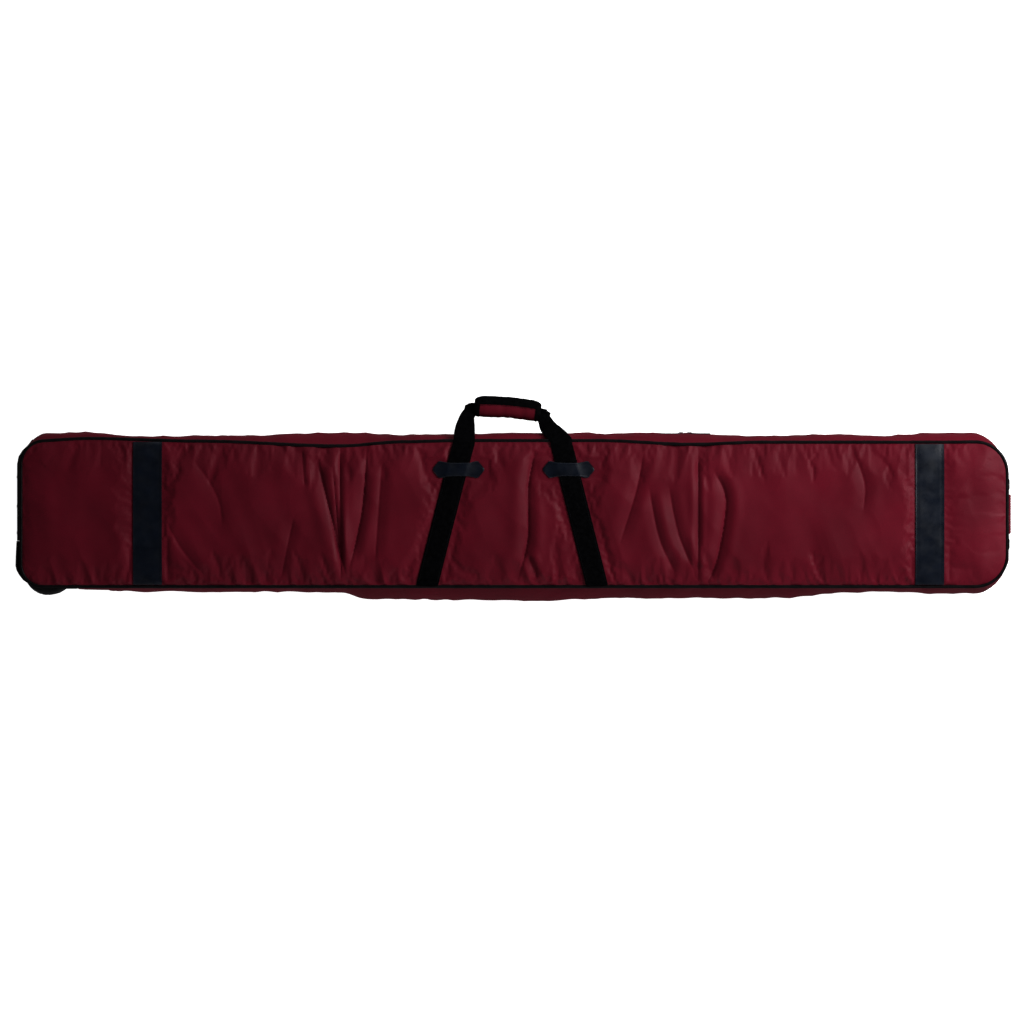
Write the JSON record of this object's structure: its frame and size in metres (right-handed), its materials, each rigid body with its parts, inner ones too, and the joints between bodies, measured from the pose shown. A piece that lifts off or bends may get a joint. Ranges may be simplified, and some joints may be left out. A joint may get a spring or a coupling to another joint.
{
  "type": "ski bag",
  "caption": "Long padded ski bag lying on its back panel, with a zipped lid, wrapped carry handles, wheels at one end and a pull handle at the other.",
  "frame": {"origin": "centre of the back panel's resting face", "axes": "+X along the bag from the wheel end to the pull handle's end, +Y towards the side with the zip and carry handles, +Z from the back panel to the front panel"},
  "size_m": [1.8681, 0.3844, 0.1263],
  "materials": {
    "nylon": "burgundy woven nylon with a soft sheen",
    "lining": "dark plain-weave lining",
    "foam": "closed-cell foam",
    "board": "matt sheet",
    "webbing": "black ribbed webbing",
    "leatherette": "glossy blue-black leatherette",
    "piping": "glossy black vinyl",
    "zip_tape": "black woven tape",
    "hard_plastic": "satin black moulding",
    "tyre": "matt black",
    "hub": "dark grey moulding",
    "steel": "plain steel",
    "zinc": "black nickel"
  },
  "bodies": {
    "tray": {"back_panel": "nylon", "back_board": "board", "back_lining": "lining", "back_strap_left": "webbing", "back_strap_right": "webbing", "back_stripe_left": "leatherette", "back_stripe_right": "leatherette", "back_piping": "piping", "bottom_gusset": "nylon", "tray_gusset": "nylon", "tray_zip_tape": "zip_tape", "ski_strap_wheel_end": "webbing", "ski_strap_pull_end": "webbing", "wheel_housing": "hard_plastic", "end_guard": "hard_plastic", "guard_rivet_1": "steel", "guard_rivet_2": "steel", "guard_rivet_3": "steel", "axle": "steel"},
    "lid": {"front_panel": "nylon", "front_foam": "foam", "front_lining": "lining", "front_piping": "piping", "lid_gusset": "nylon", "lid_zip_tape": "zip_tape", "front_strap_left": "webbing", "front_strap_right": "webbing", "keeper_left": "leatherette", "keeper_right": "leatherette", "front_stripe_left": "leatherette", "front_stripe_right": "leatherette"},
    "front_handle": {"front_handle_webbing": "webbing", "grip_wrap": "nylon"},
    "back_handle": {"back_handle_webbing": "webbing"},
    "left_slider": {"slider_left": "zinc"},
    "right_slider": {"slider_right": "zinc"},
    "left_pull_tab": {"pull_tab_left": "leatherette"},
    "right_pull_tab": {"pull_tab_right": "leatherette"},
    "rear_wheel": {"rear_wheel_tyre": "tyre", "rear_wheel_hub": "hub", "rear_wheel_bearing_lower": "steel", "rear_wheel_bearing_upper": "steel"},
    "front_wheel": {"front_wheel_tyre": "tyre", "front_wheel_hub": "hub", "front_wheel_bearing_lower": "steel", "front_wheel_bearing_upper": "steel"},
    "pull_handle": {"pull_handle_webbing": "webbing", "pull_handle_tube": "nylon"}
  },
  "joints": [
    {"name": "lid_fold", "type": "hinge", "parent": "tray", "child": "lid", "pos_m": [0, -0.1389, 0.11385], "axis": [1, 0, 0], "range_deg": [0, 180]},
    {"name": "front_handle_swing", "type": "hinge", "parent": "lid", "child": "front_handle", "pos_m": [0, 0.1343, 0.1241], "axis": [1, 0, 0], "range_deg": [0, 195]},
    {"name": "back_handle_drop", "type": "hinge", "parent": "tray", "child": "back_handle", "pos_m": [0, 0.135, 0.0011], "axis": [-1, 0, 0], "range_deg": [0, 36]},
    {"name": "left_slider_travel", "type": "slide", "parent": "tray", "child": "left_slider", "axis": [1, 0, 0], "range_m": [-1.177, 0]},
    {"name": "right_slider_travel", "type": "slide", "parent": "tray", "child": "right_slider", "axis": [1, 0, 0], "range_m": [0, 0.518]},
    {"name": "left_pull_tab_swing", "type": "hinge", "parent": "left_slider", "child": "left_pull_tab", "pos_m": [0.312, 0.15028, 0.062], "axis": [0, 0, -1], "range_deg": [0, 95]},
    {"name": "right_pull_tab_swing", "type": "hinge", "parent": "right_slider", "child": "right_pull_tab", "pos_m": [0.328, 0.15028, 0.062], "axis": [0, 0, 1], "range_deg": [0, 95]},
    {"name": "rear_wheel_spin", "type": "hinge", "parent": "tray", "child": "rear_wheel", "pos_m": [-0.87, -0.107, 0.0284], "axis": [0, 0, 1], "continuous": true},
    {"name": "front_wheel_spin", "type": "hinge", "parent": "tray", "child": "front_wheel", "pos_m": [-0.87, -0.107, 0.0892], "axis": [0, 0, 1], "continuous": true},
    {"name": "pull_handle_lift", "type": "hinge", "parent": "tray", "child": "pull_handle", "pos_m": [0.9275, 0, 0.0485], "axis": [0, -1, 0], "range_deg": [0, 110]}
  ]
}
